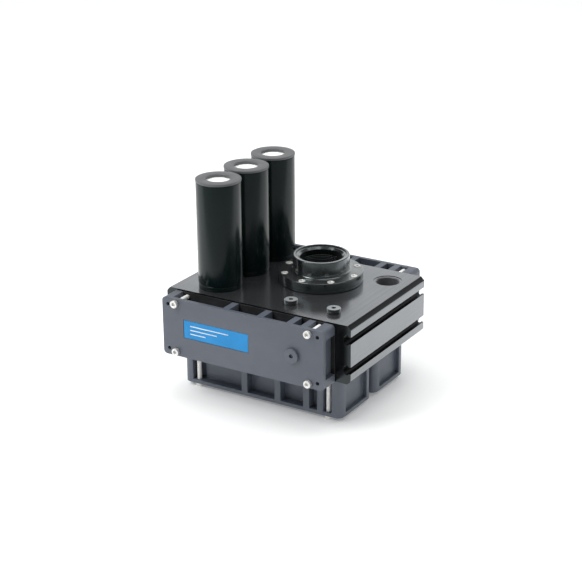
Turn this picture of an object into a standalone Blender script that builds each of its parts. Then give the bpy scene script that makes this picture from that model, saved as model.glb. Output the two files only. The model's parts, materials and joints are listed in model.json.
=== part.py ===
"""Large-flow multi-stage vacuum generator, built as separate solids.

A black extruded block carries three exhaust silencers, a round vacuum port and an air inlet.
Ribbed covers close its two open ends and the windows in its underside. Four slide-in nozzle
plates split the block into stages, and rubber flaps close the stages that stop pumping.

Frame: X to the right along the block, Y to the rear, Z up. The origin is below the middle of
the block, on the plane that the heads of the bottom screws rest on. Units are metres.
"""

import math

import bmesh
import bpy
from mathutils import Matrix, Vector

MODEL_NAME = "vacuum_generator"

# Driving dimensions -----------------------------------------------------------------------

GAP = 0.0003                    # clearance left between pieces that touch

BLOCK_WIDTH = 0.280             # X
BLOCK_DEPTH = 0.2015            # Y, the direction of extrusion
BLOCK_HEIGHT = 0.080            # Z
BLOCK_CHAMFER = 0.0050          # along the four long edges
BLOCK_CHAMFER_RUNOUT = 0.0035   # radius between a chamfer and the side
SLOT_MOUTH = 0.0095             # T-slots along both sides
SLOT_INNER_WIDTH = 0.0135
SLOT_LIP = 0.0032
SLOT_DEPTH = 0.0100
SLOT_OFFSET = 0.0205            # above and below the middle of the side

HEAD_HEIGHT = 0.0050            # socket heads of the cover screws
HEAD_RADIUS = 0.0051
SHANK_RADIUS = 0.0031
SCREW_HOLE_RADIUS = 0.0034
SCREW_SIDES = 10                # facets of a screw and of its hole
SOCKET_FLATS = 0.0050
SOCKET_DEPTH = 0.0026

END_COVER_REACH = 0.030         # end cover and its gasket, out from the block
BOTTOM_COVER_REACH = 0.060      # bottom cover and its gasket, down from the block
SEAL_SPACE = 0.0020             # room for a gasket, both clearances included
COVER_LENGTH = 0.245
COVER_X = -0.0045               # middle of every cover
END_COVER_CORNER = 0.0050
BOTTOM_COVER_CORNER = 0.0095
END_COVER_HEIGHT = 0.0807
BOTTOM_COVER_WIDTH = 0.082
BOTTOM_COVER_Y = 0.0455
PLATE_THICKNESS = 0.0055        # outer plate of a cover
POCKET_DEPTH = 0.0130           # open pockets along the long sides
SLOT_POCKET_DEPTH = 0.0160      # deeper pocket round each screw
END_RECESS_DEPTH = 0.0060
CORNER_BLOCK = 0.0145
RIB_WIDTH = 0.0095
RIB_X = (-0.0300, 0.0215, 0.0655, 0.0865)
COVER_SCREW_X = (-0.1062, 0.0960)
SCREW_EDGE = 0.0065             # from a cover's long edge to its screws
BLANK_HOLE_RADIUS = 0.0026
BLANK_HOLE_INSET = 0.0090
BLANK_HOLE_DEPTH = 0.0120
SCREW_GRIP = 0.0105             # how far the cover screws reach into the block

TOP_WALL = 0.009
BOTTOM_WALL = 0.008
TUNNEL_LEFT = -0.1160           # ends of the chambers along X
TUNNEL_RIGHT = 0.1065
PARTITION_BELOW_TOP = 0.030     # underside of the level partition
PARTITION_THICKNESS = 0.006
GUIDE_DEPTH = 0.002
NOZZLE_PLATE = 0.006
SUPPLY_CEILING = 0.020          # below the top face, thread length for the air inlet

BANK_Y = (-0.0606, 0.0064, 0.0734)      # the three ejector rows and their silencers
FLAP_Y = (-0.0271, 0.0399)              # the flaps sit between the rows
NOZZLE_Z = 0.092

SILENCER_X = -0.0808
SILENCER_RADIUS = 0.0298
SILENCER_HEIGHT = 0.1484
SILENCER_BASE_HEIGHT = 0.0065
SILENCER_CAP_THICKNESS = 0.0032
SILENCER_OUTLET_RADIUS = 0.0165
SILENCER_NECK_RADIUS = 0.0240   # the part of the base that stands in the block
SILENCER_WALL = 0.0020
PORT_X, PORT_Y = 0.0244, 0.0235
PORT_FLANGE_RADIUS = 0.0566
PORT_FLANGE_THICKNESS = 0.0144
PORT_COLLAR_RADIUS = 0.0382
PORT_COLLAR_HEIGHT = 0.0367
PORT_BORE_RADIUS = 0.0285
PORT_BOLT_CIRCLE = 0.0500
PORT_SCREWS = 8
PORT_SEGMENTS = 40
PORT_HEAD_RADIUS = 0.0047
PORT_HEAD_HEIGHT = 0.0046
COUNTERBORE_DEPTH = 0.0040
PORT_SCREW_GRIP = 0.0065        # how far the port screws reach into the block
PORT_SEAT_RADIUS = 0.0345       # shallow seat in the top of the collar
PORT_SEAT_DEPTH = 0.0014
SEAL_GROOVE_RADII = (0.0315, 0.0350)
SEAL_GROOVE_DEPTH = 0.0020
HOLE_END_ROOM = 0.0010          # a blind hole runs on past its screw
INLET_X, INLET_Y = 0.1042, 0.0630
INLET_RADIUS = 0.0155
INLET_SEGMENTS = 48
VACUUM_GAUGE_XY = (0.0348, -0.0712)
SUPPLY_GAUGE_XY = (0.0976, -0.0699)
TEST_PORT_X = 0.0726
PLUG_HEAD_RADIUS = 0.0091
PLUG_HEAD_HEIGHT = 0.0064
PLUG_SHANK_RADIUS = 0.0063
PLUG_SOCKET_RADIUS = 0.0031
PLUG_REACH = 0.0085
TEST_PLUG_RADIUS = 0.0098
TEST_PLUG_HEIGHT = 0.0042
NAME_PLATE_X = (-0.0937, 0.0058)
NAME_PLATE_BELOW_TOP = (0.0535, 0.0285)

FLAP_LENGTH = 0.0250
FLAP_WIDTH = 0.0340
FLAP_THICKNESS = 0.0020
FLAP_HEEL = 0.0005              # how far the leaf runs on behind the hinge axis
FLAP_BEAD_RADIUS = 0.0023
BEAD_GROOVE_RADIUS = 0.0026
BEAD_ABOVE_PARTITION = 0.0016   # hinge axis above the partition's underside
STAGE_3_HINGE_X = -0.0170
STAGE_2_HINGE_X = 0.0310

# Levels that follow from them
BLOCK_BOTTOM = HEAD_HEIGHT + BOTTOM_COVER_REACH
BLOCK_TOP = BLOCK_BOTTOM + BLOCK_HEIGHT
BLOCK_FRONT = -BLOCK_DEPTH / 2
BLOCK_REAR = BLOCK_DEPTH / 2
TUNNEL_FLOOR = BLOCK_BOTTOM + BOTTOM_WALL
PARTITION_UNDERSIDE = BLOCK_TOP - PARTITION_BELOW_TOP
PLENUM_FLOOR = PARTITION_UNDERSIDE + PARTITION_THICKNESS
END_COVER_Z = BLOCK_TOP - 0.04175
CAVITY_INSET = POCKET_DEPTH + 0.004
EXHAUST_CAVITY_START = -0.0960
WEB_LIP = 0.0030                # material beside a guide groove

COLORS = {
    "anodised_black": ((0.030, 0.032, 0.036), 0.30, 0.9),
    "cover_grey": ((0.115, 0.122, 0.145), 0.50, 0.0),
    "cover_slate": ((0.075, 0.085, 0.110), 0.50, 0.0),
    "seal_black": ((0.015, 0.015, 0.016), 0.75, 0.0),
    "bright_steel": ((0.75, 0.74, 0.70), 0.25, 1.0),
    "silencer_black": ((0.010, 0.014, 0.014), 0.25, 0.4),
    "cap_grey": ((0.260, 0.265, 0.270), 0.55, 0.0),
    "felt_white": ((0.85, 0.86, 0.84), 0.95, 0.0),
    "plug_steel": ((0.100, 0.105, 0.110), 0.35, 0.8),
    "plate_blue": ((0.060, 0.230, 0.560), 0.40, 0.0),
    "nozzle_brass": ((0.620, 0.450, 0.180), 0.30, 1.0),
    "flap_rubber": ((0.045, 0.020, 0.018), 0.80, 0.0),
}


# Scene and materials ----------------------------------------------------------------------

def clear_scene():
    for old in list(bpy.data.objects):
        bpy.data.objects.remove(old, do_unlink=True)


def make_collection(name):
    collection = bpy.data.collections.new(name)
    bpy.context.scene.collection.children.link(collection)
    return collection


def make_material(name):
    color, roughness, metallic = COLORS[name]
    material = bpy.data.materials.new(name)
    material.use_nodes = True
    shader = material.node_tree.nodes["Principled BSDF"]
    shader.inputs["Base Color"].default_value = (*color, 1.0)
    shader.inputs["Roughness"].default_value = roughness
    shader.inputs["Metallic"].default_value = metallic
    material.diffuse_color = (*color, 1.0)
    return material


clear_scene()
PARTS = make_collection(MODEL_NAME)
CUTTERS = make_collection(MODEL_NAME + "_cutters")


def finish_part(part, color_name, smooth=False):
    """Give a part its own material, and smooth its round faces."""
    material = make_material(color_name)
    part.data.materials.clear()
    part.data.materials.append(material)
    if smooth:
        part.data.shade_smooth()
        part.data.set_sharp_from_angle(angle=math.radians(35))
    return part


def add_object(name, mesh, collection):
    item = bpy.data.objects.new(name, mesh)
    collection.objects.link(item)
    if collection == CUTTERS:
        item.hide_render = True
        item.display_type = "WIRE"
    return item


# Shapes -----------------------------------------------------------------------------------

def boxes(name, corner_pairs, collection=None):
    """One mesh of separate boxes, each given by its lowest and highest corner."""
    form = bmesh.new()
    for low, high in corner_pairs:
        low, high = Vector(low), Vector(high)
        size = high - low
        place = Matrix.Translation((low + high) / 2) @ Matrix.Diagonal((*size, 1.0))
        bmesh.ops.create_cube(form, size=1.0, matrix=place)
    mesh = bpy.data.meshes.new(name)
    form.to_mesh(mesh)
    form.free()
    return add_object(name, mesh, collection or PARTS)


def cylinders(name, rods, segments=16, collection=None):
    """One mesh of separate rods, each given by its two end points and its radius."""
    form = bmesh.new()
    for start, end, radius in rods:
        start, end = Vector(start), Vector(end)
        along = end - start
        turn = Vector((0, 0, 1)).rotation_difference(along).to_matrix().to_4x4()
        place = Matrix.Translation((start + end) / 2) @ turn
        bmesh.ops.create_cone(form, cap_ends=True, segments=segments, radius1=radius,
                              radius2=radius, depth=along.length, matrix=place)
    mesh = bpy.data.meshes.new(name)
    form.to_mesh(mesh)
    form.free()
    return add_object(name, mesh, collection or PARTS)


def turned(name, profile, segments, place=None, collection=None):
    """A closed profile of (radius, height), outer side first from the top down, turned once."""
    form = bmesh.new()
    corners = [form.verts.new((radius, 0.0, height)) for radius, height in profile]
    for index, corner in enumerate(corners[:-1]):
        form.edges.new((corner, corners[index + 1]))
    on_axis = profile[0][0] == 0.0 and profile[-1][0] == 0.0
    if not on_axis:
        form.edges.new((corners[-1], corners[0]))
    mesh = bpy.data.meshes.new(name)
    form.to_mesh(mesh)
    form.free()
    item = add_object(name, mesh, collection or PARTS)
    item.matrix_world = place or Matrix.Identity(4)
    screw = item.modifiers.new("turn", "SCREW")
    screw.steps = segments
    screw.render_steps = segments
    screw.use_merge_vertices = True
    screw.merge_threshold = 0.00001
    return item


def prism(name, outline, thickness, place, collection=None):
    """A flat outline made a solid slab with a filled curve."""
    curve = bpy.data.curves.new(name, "CURVE")
    curve.dimensions = "2D"
    curve.fill_mode = "BOTH"
    curve.extrude = thickness / 2
    line = curve.splines.new("POLY")
    line.points.add(len(outline) - 1)
    line.use_cyclic_u = True
    for point, (x, y) in zip(line.points, outline):
        point.co = (x, y, 0.0, 1.0)
    guide = bpy.data.objects.new(name + "_curve", curve)
    bpy.context.scene.collection.objects.link(guide)
    guide.matrix_world = place
    evaluated = guide.evaluated_get(bpy.context.evaluated_depsgraph_get())
    mesh = bpy.data.meshes.new_from_object(evaluated)
    mesh.name = name
    form = bmesh.new()
    form.from_mesh(mesh)
    bmesh.ops.remove_doubles(form, verts=form.verts, dist=0.00001)
    bmesh.ops.recalc_face_normals(form, faces=form.faces)
    form.to_mesh(mesh)
    form.free()
    bpy.data.objects.remove(guide, do_unlink=True)
    item = add_object(name, mesh, collection or PARTS)
    item.matrix_world = place
    return item


def boolean(part, tool, operation="DIFFERENCE"):
    change = part.modifiers.new(tool.name, "BOOLEAN")
    change.object = tool
    change.operation = operation
    change.solver = "EXACT"


def rounded_outline(width, height, radius, centre=(0.0, 0.0), steps=4):
    """A rectangle with round corners, counter-clockwise."""
    points = []
    for corner in range(4):
        sign_x = 1 if corner in (0, 3) else -1
        sign_y = 1 if corner in (0, 1) else -1
        middle_x = centre[0] + sign_x * (width / 2 - radius)
        middle_y = centre[1] + sign_y * (height / 2 - radius)
        for step in range(steps + 1):
            angle = math.radians(90) * (corner + step / steps)
            points.append((middle_x + radius * math.cos(angle), middle_y + radius * math.sin(angle)))
    return points


def frame_matrix(x_axis, y_axis, z_axis, origin):
    """The matrix whose columns are the given axes and origin."""
    columns = (Vector(x_axis), Vector(y_axis), Vector(z_axis))
    matrix = Matrix.Identity(4)
    for index, column in enumerate(columns):
        matrix.col[index].xyz = column
    matrix.translation = Vector(origin)
    return matrix


# Extruded block ---------------------------------------------------------------------------

def half_guide():
    return NOZZLE_PLATE / 2 + GAP


def tunnel_outline():
    """Cross-section of the stage chambers, in X and Z, counter-clockwise from the low left.

    Steps in its corners keep the bosses for the cover screws. It is higher over the exhaust and
    supply ends, and it ends inside the covers' seal faces.
    """
    left_boss = COVER_SCREW_X[0] + 0.0070
    right_boss = COVER_SCREW_X[1] - 0.0045
    low_boss_top = TUNNEL_FLOOR + 0.0065
    high_boss_bottom = BLOCK_TOP - 0.0160
    exhaust_top = BLOCK_TOP - TOP_WALL
    exhaust_end = RIB_X[0] - half_guide() - WEB_LIP
    supply_top = BLOCK_TOP - SUPPLY_CEILING
    supply_start = RIB_X[3] + half_guide() + WEB_LIP
    return [
        (TUNNEL_LEFT, low_boss_top), (left_boss, low_boss_top), (left_boss, TUNNEL_FLOOR),
        (right_boss, TUNNEL_FLOOR), (right_boss, low_boss_top), (TUNNEL_RIGHT, low_boss_top),
        (TUNNEL_RIGHT, supply_top), (supply_start, supply_top), (supply_start, PARTITION_UNDERSIDE),
        (exhaust_end, PARTITION_UNDERSIDE), (exhaust_end, exhaust_top), (left_boss, exhaust_top),
        (left_boss, high_boss_bottom), (TUNNEL_LEFT, high_boss_bottom)]


def guide_grooves():
    """Grooves in the tunnel's floor and ceiling that the nozzle plates slide in."""
    overlap = 0.0010
    levels = ((TUNNEL_FLOOR - GUIDE_DEPTH, TUNNEL_FLOOR + overlap),
              (PARTITION_UNDERSIDE - overlap, PARTITION_UNDERSIDE + GUIDE_DEPTH))
    return [((rib - half_guide(), BLOCK_FRONT - 0.005, low), (rib + half_guide(), BLOCK_REAR + 0.005, high))
            for rib in RIB_X for low, high in levels]


def plenum_box():
    """The vacuum chamber under the top wall."""
    return ((RIB_X[0] + NOZZLE_PLATE / 2, BLOCK_FRONT - 0.005, PLENUM_FLOOR),
            (RIB_X[3] - NOZZLE_PLATE / 2, BLOCK_REAR + 0.005, BLOCK_TOP - TOP_WALL))


def slot_outline(side, middle_z):
    """A T-slot with a round-cornered inner channel, opening at the side of the block."""
    face = side * BLOCK_WIDTH / 2
    mouth = SLOT_MOUTH / 2
    inner = SLOT_INNER_WIDTH / 2
    chamfer = 0.0025
    depths_and_heights = [(-0.002, mouth), (SLOT_LIP, mouth), (SLOT_LIP + 0.0008, inner),
                          (SLOT_DEPTH - chamfer, inner), (SLOT_DEPTH, inner - chamfer)]
    upper = [(face - side * depth, middle_z + height) for depth, height in depths_and_heights]
    lower = [(face - side * depth, middle_z - height) for depth, height in reversed(depths_and_heights)]
    return upper + lower


def cover_screw_points(half_width):
    """Where a cover's four screws are, as (X, offset from the cover's middle line)."""
    offset = half_width - SCREW_EDGE
    return [(x, sign * offset) for x in COVER_SCREW_X for sign in (-1, 1)]


def cavity_ranges():
    """X range of each chamber in a cover: exhaust, stage 3, stage 2, stage 1, supply."""
    half_rib = RIB_WIDTH / 2
    edges = [(rib - half_rib, rib + half_rib) for rib in RIB_X]
    supply_end = COVER_X + COVER_LENGTH / 2 - END_RECESS_DEPTH - 0.005
    return [(EXHAUST_CAVITY_START, edges[0][0]), (edges[0][1], edges[1][0]),
            (edges[1][1], edges[2][0]), (edges[2][1], edges[3][0]), (edges[3][1] + 0.001, supply_end)]


def block_outline():
    """The block's section. Its corners are chamfers that run round into the sides, counter-clockwise."""
    steps = 2
    diagonal = math.radians(45)
    rise = BLOCK_CHAMFER + BLOCK_CHAMFER_RUNOUT * (math.sin(diagonal) + math.cos(diagonal) - 1)
    corner = []
    for step in range(steps + 1):
        angle = diagonal * step / steps
        corner.append((BLOCK_WIDTH / 2 - BLOCK_CHAMFER_RUNOUT * (1 - math.cos(angle)),
                       BLOCK_HEIGHT / 2 - rise + BLOCK_CHAMFER_RUNOUT * math.sin(angle)))
    corner.append((BLOCK_WIDTH / 2 - BLOCK_CHAMFER, BLOCK_HEIGHT / 2))
    points = corner + [(-x, z) for x, z in reversed(corner)]
    points += [(-x, -z) for x, z in corner]
    points += [(x, -z) for x, z in reversed(corner)]
    middle = (BLOCK_TOP + BLOCK_BOTTOM) / 2
    return [(x, middle + z) for x, z in points]


def build_block():
    across = frame_matrix((1, 0, 0), (0, 0, 1), (0, -1, 0), (0, 0, 0))
    block = prism("body_extrusion", block_outline(), BLOCK_DEPTH, across)
    longer = BLOCK_DEPTH + 0.010
    boolean(block, prism("tunnel_cutter", tunnel_outline(), longer, across, CUTTERS))
    boolean(block, boxes("plenum_cutter", [plenum_box()], CUTTERS))
    middle = (BLOCK_TOP + BLOCK_BOTTOM) / 2
    for side in (-1, 1):
        for row in (-1, 1):
            outline = slot_outline(side, middle + row * SLOT_OFFSET)
            boolean(block, prism(f"t_slot_cutter_{side}_{row}", outline, longer, across, CUTTERS))
    boolean(block, boxes("guide_groove_cutter", guide_grooves(), CUTTERS))
    groove_z = PARTITION_UNDERSIDE + BEAD_ABOVE_PARTITION
    grooves = [((x, BLOCK_FRONT - 0.005, groove_z), (x, BLOCK_REAR + 0.005, groove_z), BEAD_GROOVE_RADIUS)
               for x in (STAGE_3_HINGE_X, STAGE_2_HINGE_X)]
    boolean(block, cylinders("bead_groove_cutter", grooves, 20, CUTTERS))
    boolean(block, cylinders("exhaust_hole_cutter", exhaust_holes(), 28, CUTTERS))
    boolean(block, turned("port_hole_cutter", port_hole_profile(), PORT_SEGMENTS,
                          Matrix.Translation((PORT_X, PORT_Y, BLOCK_TOP)), CUTTERS))
    boolean(block, turned("inlet_cutter", inlet_profile(), INLET_SEGMENTS,
                          Matrix.Translation((INLET_X, INLET_Y, BLOCK_TOP)), CUTTERS))
    boolean(block, cylinders("gauge_hole_cutter", gauge_holes(), 16, CUTTERS))
    boolean(block, cylinders("cover_screw_hole_cutter", block_screw_holes(), SCREW_SIDES, CUTTERS))
    boolean(block, boxes("valve_window_cutter", valve_windows(), CUTTERS))
    boolean(block, boxes("bottom_window_cutter", bottom_windows(), CUTTERS))
    return finish_part(block, "anodised_black", smooth=True)


def exhaust_holes():
    low = BLOCK_TOP - TOP_WALL - 0.002
    high = BLOCK_TOP + 0.002
    radius = SILENCER_NECK_RADIUS + GAP
    return [((SILENCER_X, y, low), (SILENCER_X, y, high), radius) for y in BANK_Y]


def port_hole_profile():
    top = 0.002
    return [(0.0, top), (PORT_BORE_RADIUS, top), (PORT_BORE_RADIUS, -TOP_WALL - 0.002),
            (0.0, -TOP_WALL - 0.002)]


def inlet_profile():
    """The air inlet: a shallow spot face, a lead-in chamfer and the thread's bore."""
    spot_radius = 0.0195
    spot_depth = 0.0006
    return [(0.0, 0.002), (spot_radius, 0.002), (spot_radius, -spot_depth),
            (INLET_RADIUS + 0.0012, -spot_depth), (INLET_RADIUS, -spot_depth - 0.0012),
            (INLET_RADIUS, -SUPPLY_CEILING - 0.002), (0.0, -SUPPLY_CEILING - 0.002)]


def gauge_holes():
    radius = PLUG_SHANK_RADIUS + GAP
    holes = []
    for (x, y), depth in ((VACUUM_GAUGE_XY, TOP_WALL), (SUPPLY_GAUGE_XY, SUPPLY_CEILING)):
        holes.append(((x, y, BLOCK_TOP - depth - 0.002), (x, y, BLOCK_TOP + 0.002), radius))
    return holes


def port_screw_points():
    turn = math.tau / PORT_SCREWS
    return [(PORT_X + PORT_BOLT_CIRCLE * math.cos(turn * i), PORT_Y + PORT_BOLT_CIRCLE * math.sin(turn * i))
            for i in range(PORT_SCREWS)]


def block_screw_holes():
    """Blind holes in the block for every cover screw and port screw."""
    depth = SCREW_GRIP + HOLE_END_ROOM
    holes = []
    for x, offset in cover_screw_points(END_COVER_HEIGHT / 2):
        z = END_COVER_Z + offset
        for face, inward in ((BLOCK_FRONT, 1), (BLOCK_REAR, -1)):
            holes.append(((x, face - inward * 0.002, z), (x, face + inward * depth, z), SCREW_HOLE_RADIUS))
    for middle in (-BOTTOM_COVER_Y, BOTTOM_COVER_Y):
        for x, offset in cover_screw_points(BOTTOM_COVER_WIDTH / 2):
            y = middle + offset
            low = BLOCK_BOTTOM - 0.002
            holes.append(((x, y, low), (x, y, BLOCK_BOTTOM + depth), SCREW_HOLE_RADIUS))
    for x, y in port_screw_points():
        low = BLOCK_TOP - PORT_SCREW_GRIP - HOLE_END_ROOM
        holes.append(((x, y, low), (x, y, BLOCK_TOP + 0.002), SCREW_HOLE_RADIUS))
    return holes


def valve_windows():
    """Openings through the partition: two under flaps per late stage, two open ones for stage 1."""
    low = PARTITION_UNDERSIDE - 0.001
    high = PLENUM_FLOOR + 0.001
    half = FLAP_WIDTH / 2 - 0.003
    stage_1 = (RIB_X[2] + 0.0060, RIB_X[3] - 0.0060)
    ranges = [(hinge + 0.0040, hinge + 0.0220) for hinge in (STAGE_3_HINGE_X, STAGE_2_HINGE_X)]
    return [((start, y - half, low), (end, y + half, high))
            for start, end in ranges + [stage_1] for y in FLAP_Y]


def bottom_windows():
    """Windows in the floor that join each chamber to the bottom covers."""
    half = BOTTOM_COVER_WIDTH / 2 - CAVITY_INSET - 0.0015
    windows = []
    for middle in (-BOTTOM_COVER_Y, BOTTOM_COVER_Y):
        for start, end in cavity_ranges()[:4]:
            windows.append(((start + 0.0015, middle - half, BLOCK_BOTTOM - 0.002),
                            (end - 0.0015, middle + half, TUNNEL_FLOOR + 0.002)))
    return windows


# Covers and gaskets -----------------------------------------------------------------------

def side_pockets(ranges, half_width, cut, top):
    """Boxes that open the same pockets in both long sides of a cover."""
    shapes = []
    for start, end in ranges:
        inner, outer = half_width - cut, half_width + 0.002
        shapes.append(((start, inner, -0.002), (end, outer, top)))
        shapes.append(((start, -outer, -0.002), (end, -inner, top)))
    return shapes


def rib_pockets(half_width, depth):
    """Pockets between the ribs."""
    half_rib = RIB_WIDTH / 2
    starts = [screw_slots()[0][1]] + [rib + half_rib for rib in RIB_X[:3]]
    ends = [rib - half_rib for rib in RIB_X]
    return side_pockets(zip(starts, ends), half_width, POCKET_DEPTH, depth - PLATE_THICKNESS)


def screw_slots():
    """X ranges of the deeper pockets that the screws stand in."""
    half_length = COVER_LENGTH / 2
    return [(COVER_X - half_length + CORNER_BLOCK, COVER_SCREW_X[0] + 0.0062),
            (RIB_X[3] + RIB_WIDTH / 2, COVER_X + half_length - CORNER_BLOCK)]


def slots_and_recesses(half_width, depth):
    """The screws' pockets, and the framed recess in each short end."""
    top = depth - PLATE_THICKNESS
    half_length = COVER_LENGTH / 2
    left, right = COVER_X - half_length, COVER_X + half_length
    post = half_width - CORNER_BLOCK + 0.0010
    shapes = side_pockets(screw_slots(), half_width, SLOT_POCKET_DEPTH, top)
    shapes.append(((left - 0.002, -post, -0.002), (left + END_RECESS_DEPTH, post, top)))
    shapes.append(((right - END_RECESS_DEPTH, -post, -0.002), (right + 0.002, post, top)))
    return shapes


def cavity_boxes(half_width, stage_limit):
    """Chambers inside a cover: (X low, X high, across low, across high)."""
    inner = half_width - CAVITY_INSET
    narrow = half_width - SLOT_POCKET_DEPTH - 0.0045
    low_side, high_side = stage_limit or (-inner, inner)
    low_side, high_side = max(low_side, -inner), min(high_side, inner)
    chambers = cavity_ranges()
    shapes = [(*chambers[0], -inner, inner)]
    shapes += [(*chamber, low_side, high_side) for chamber in chambers[1:4]]
    shapes.append((*chambers[4], -narrow, narrow))
    return shapes


def build_cover(name, place, half_width, depth, chambers, corner, color):
    """A ribbed cover, laid out with its seal face at height 0 and its outer plate on top."""
    outline = rounded_outline(COVER_LENGTH, 2 * half_width, corner, (COVER_X, 0.0))
    slab = place @ Matrix.Translation((0, 0, depth / 2))
    cover = prism(name, outline, depth, slab)
    pockets = boxes(name + "_pocket_cutter", rib_pockets(half_width, depth), CUTTERS)
    slots = boxes(name + "_slot_cutter", slots_and_recesses(half_width, depth), CUTTERS)
    hollows = boxes(name + "_cavity_cutter",
                    [((x0, y0, -0.002), (x1, y1, depth - PLATE_THICKNESS)) for x0, x1, y0, y1 in chambers],
                    CUTTERS)
    through = [((x, y, -0.002), (x, y, depth + 0.002), SCREW_HOLE_RADIUS)
               for x, y in cover_screw_points(half_width)]
    blank_x = COVER_LENGTH / 2 - BLANK_HOLE_INSET
    blank_y = half_width - BLANK_HOLE_INSET
    blank = [((COVER_X + i * blank_x, j * blank_y, depth - BLANK_HOLE_DEPTH),
              (COVER_X + i * blank_x, j * blank_y, depth + 0.002), BLANK_HOLE_RADIUS)
             for i in (-1, 1) for j in (-1, 1)]
    holes = cylinders(name + "_hole_cutter", through + blank, SCREW_SIDES, CUTTERS)
    for tool in (pockets, slots, hollows, holes):
        tool.matrix_world = place
        boolean(cover, tool)
    return finish_part(cover, color, smooth=True)


def build_gasket(name, place, half_width, chambers, corner):
    """A flat rubber gasket with the cover's outline and a window for each chamber."""
    inset = 0.0004
    outline = rounded_outline(COVER_LENGTH - 2 * inset, 2 * (half_width - inset), corner - inset,
                              (COVER_X, 0.0))
    thickness = SEAL_SPACE - 2 * GAP
    gasket = prism(name, outline, thickness, place @ Matrix.Translation((0, 0, -SEAL_SPACE / 2)))
    windows = boxes(name + "_window_cutter",
                    [((x0, y0, -SEAL_SPACE), (x1, y1, 0.0)) for x0, x1, y0, y1 in chambers], CUTTERS)
    holes = [((x, y, -SEAL_SPACE), (x, y, 0.0), SCREW_HOLE_RADIUS)
             for x, y in cover_screw_points(half_width)]
    for tool in (windows, cylinders(name + "_hole_cutter", holes, SCREW_SIDES, CUTTERS)):
        tool.matrix_world = place
        boolean(gasket, tool)
    return finish_part(gasket, "seal_black")


def end_cover_chambers(upward):
    """Chambers of an end cover. Its stage chambers stop below the block's level partition."""
    limit = PARTITION_UNDERSIDE - END_COVER_Z
    reach = END_COVER_HEIGHT
    stage_limit = (-reach, limit) if upward > 0 else (-limit, reach)
    return cavity_boxes(END_COVER_HEIGHT / 2, stage_limit)


def build_covers():
    end_depth = END_COVER_REACH - SEAL_SPACE
    for name, side in (("front", -1), ("rear", 1)):
        upward = -side
        seat = (0, side * (BLOCK_DEPTH / 2 + SEAL_SPACE), END_COVER_Z)
        place = frame_matrix((1, 0, 0), (0, 0, upward), (0, side, 0), seat)
        chambers = end_cover_chambers(upward)
        cover = build_cover(name + "_end_cover", place, END_COVER_HEIGHT / 2, end_depth, chambers,
                            END_COVER_CORNER, "cover_grey")
        build_gasket(name + "_end_gasket", place, END_COVER_HEIGHT / 2, chambers, END_COVER_CORNER)
        if name == "front":
            cut_front_features(cover)
    bottom_depth = BOTTOM_COVER_REACH - SEAL_SPACE
    for name, side in (("front", -1), ("rear", 1)):
        seat = (0, side * BOTTOM_COVER_Y, BLOCK_BOTTOM - SEAL_SPACE)
        place = frame_matrix((1, 0, 0), (0, -1, 0), (0, 0, -1), seat)
        chambers = cavity_boxes(BOTTOM_COVER_WIDTH / 2, None)[:4]
        build_cover(name + "_bottom_cover", place, BOTTOM_COVER_WIDTH / 2, bottom_depth, chambers,
                    BOTTOM_COVER_CORNER, "cover_slate")
        build_gasket(name + "_bottom_gasket", place, BOTTOM_COVER_WIDTH / 2, chambers, BOTTOM_COVER_CORNER)


def front_face_y():
    return BLOCK_FRONT - END_COVER_REACH


def test_port_z():
    return BLOCK_TOP - 0.0422


def cut_front_features(cover):
    """The name plate's recess and the hole of the test port, in the front end cover."""
    face = front_face_y()
    border = 0.0004
    low = (NAME_PLATE_X[0] - border, face - 0.002, BLOCK_TOP - NAME_PLATE_BELOW_TOP[0] - border)
    high = (NAME_PLATE_X[1] + border, face + 0.0016, BLOCK_TOP - NAME_PLATE_BELOW_TOP[1] + border)
    boolean(cover, boxes("name_plate_recess_cutter", [(low, high)], CUTTERS))
    hole = ((TEST_PORT_X, face - 0.002, test_port_z()), (TEST_PORT_X, face + 0.012, test_port_z()),
            PLUG_SHANK_RADIUS + GAP)
    boolean(cover, cylinders("test_port_cutter", [hole], 20, CUTTERS))


def build_name_plate():
    face = front_face_y()
    low = (NAME_PLATE_X[0], face + 0.0003, BLOCK_TOP - NAME_PLATE_BELOW_TOP[0])
    high = (NAME_PLATE_X[1], face + 0.0013, BLOCK_TOP - NAME_PLATE_BELOW_TOP[1])
    return finish_part(boxes("name_plate", [(low, high)]), "plate_blue")


# Screws and plugs -------------------------------------------------------------------------

def build_screw(name, seat, outward, length, head_radius=HEAD_RADIUS, head_height=HEAD_HEIGHT):
    """A socket-head screw. Its head stands on `seat` and points `outward`."""
    chamfer = 0.0005
    profile = [(0.0, head_height), (head_radius - chamfer, head_height),
               (head_radius, head_height - chamfer), (head_radius, GAP), (SHANK_RADIUS, GAP),
               (SHANK_RADIUS, -length), (0.0, -length)]
    turn = Vector((0, 0, 1)).rotation_difference(Vector(outward)).to_matrix().to_4x4()
    place = Matrix.Translation(seat) @ turn
    screw = turned(name, profile, SCREW_SIDES, place)
    across_corners = SOCKET_FLATS / math.cos(math.radians(30))
    low, high = (0, 0, head_height - SOCKET_DEPTH), (0, 0, head_height + 0.002)
    socket = cylinders(name + "_socket_cutter", [(low, high, across_corners / 2)], 6, CUTTERS)
    socket.matrix_world = place
    boolean(screw, socket)
    return finish_part(screw, "bright_steel", smooth=True)


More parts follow.
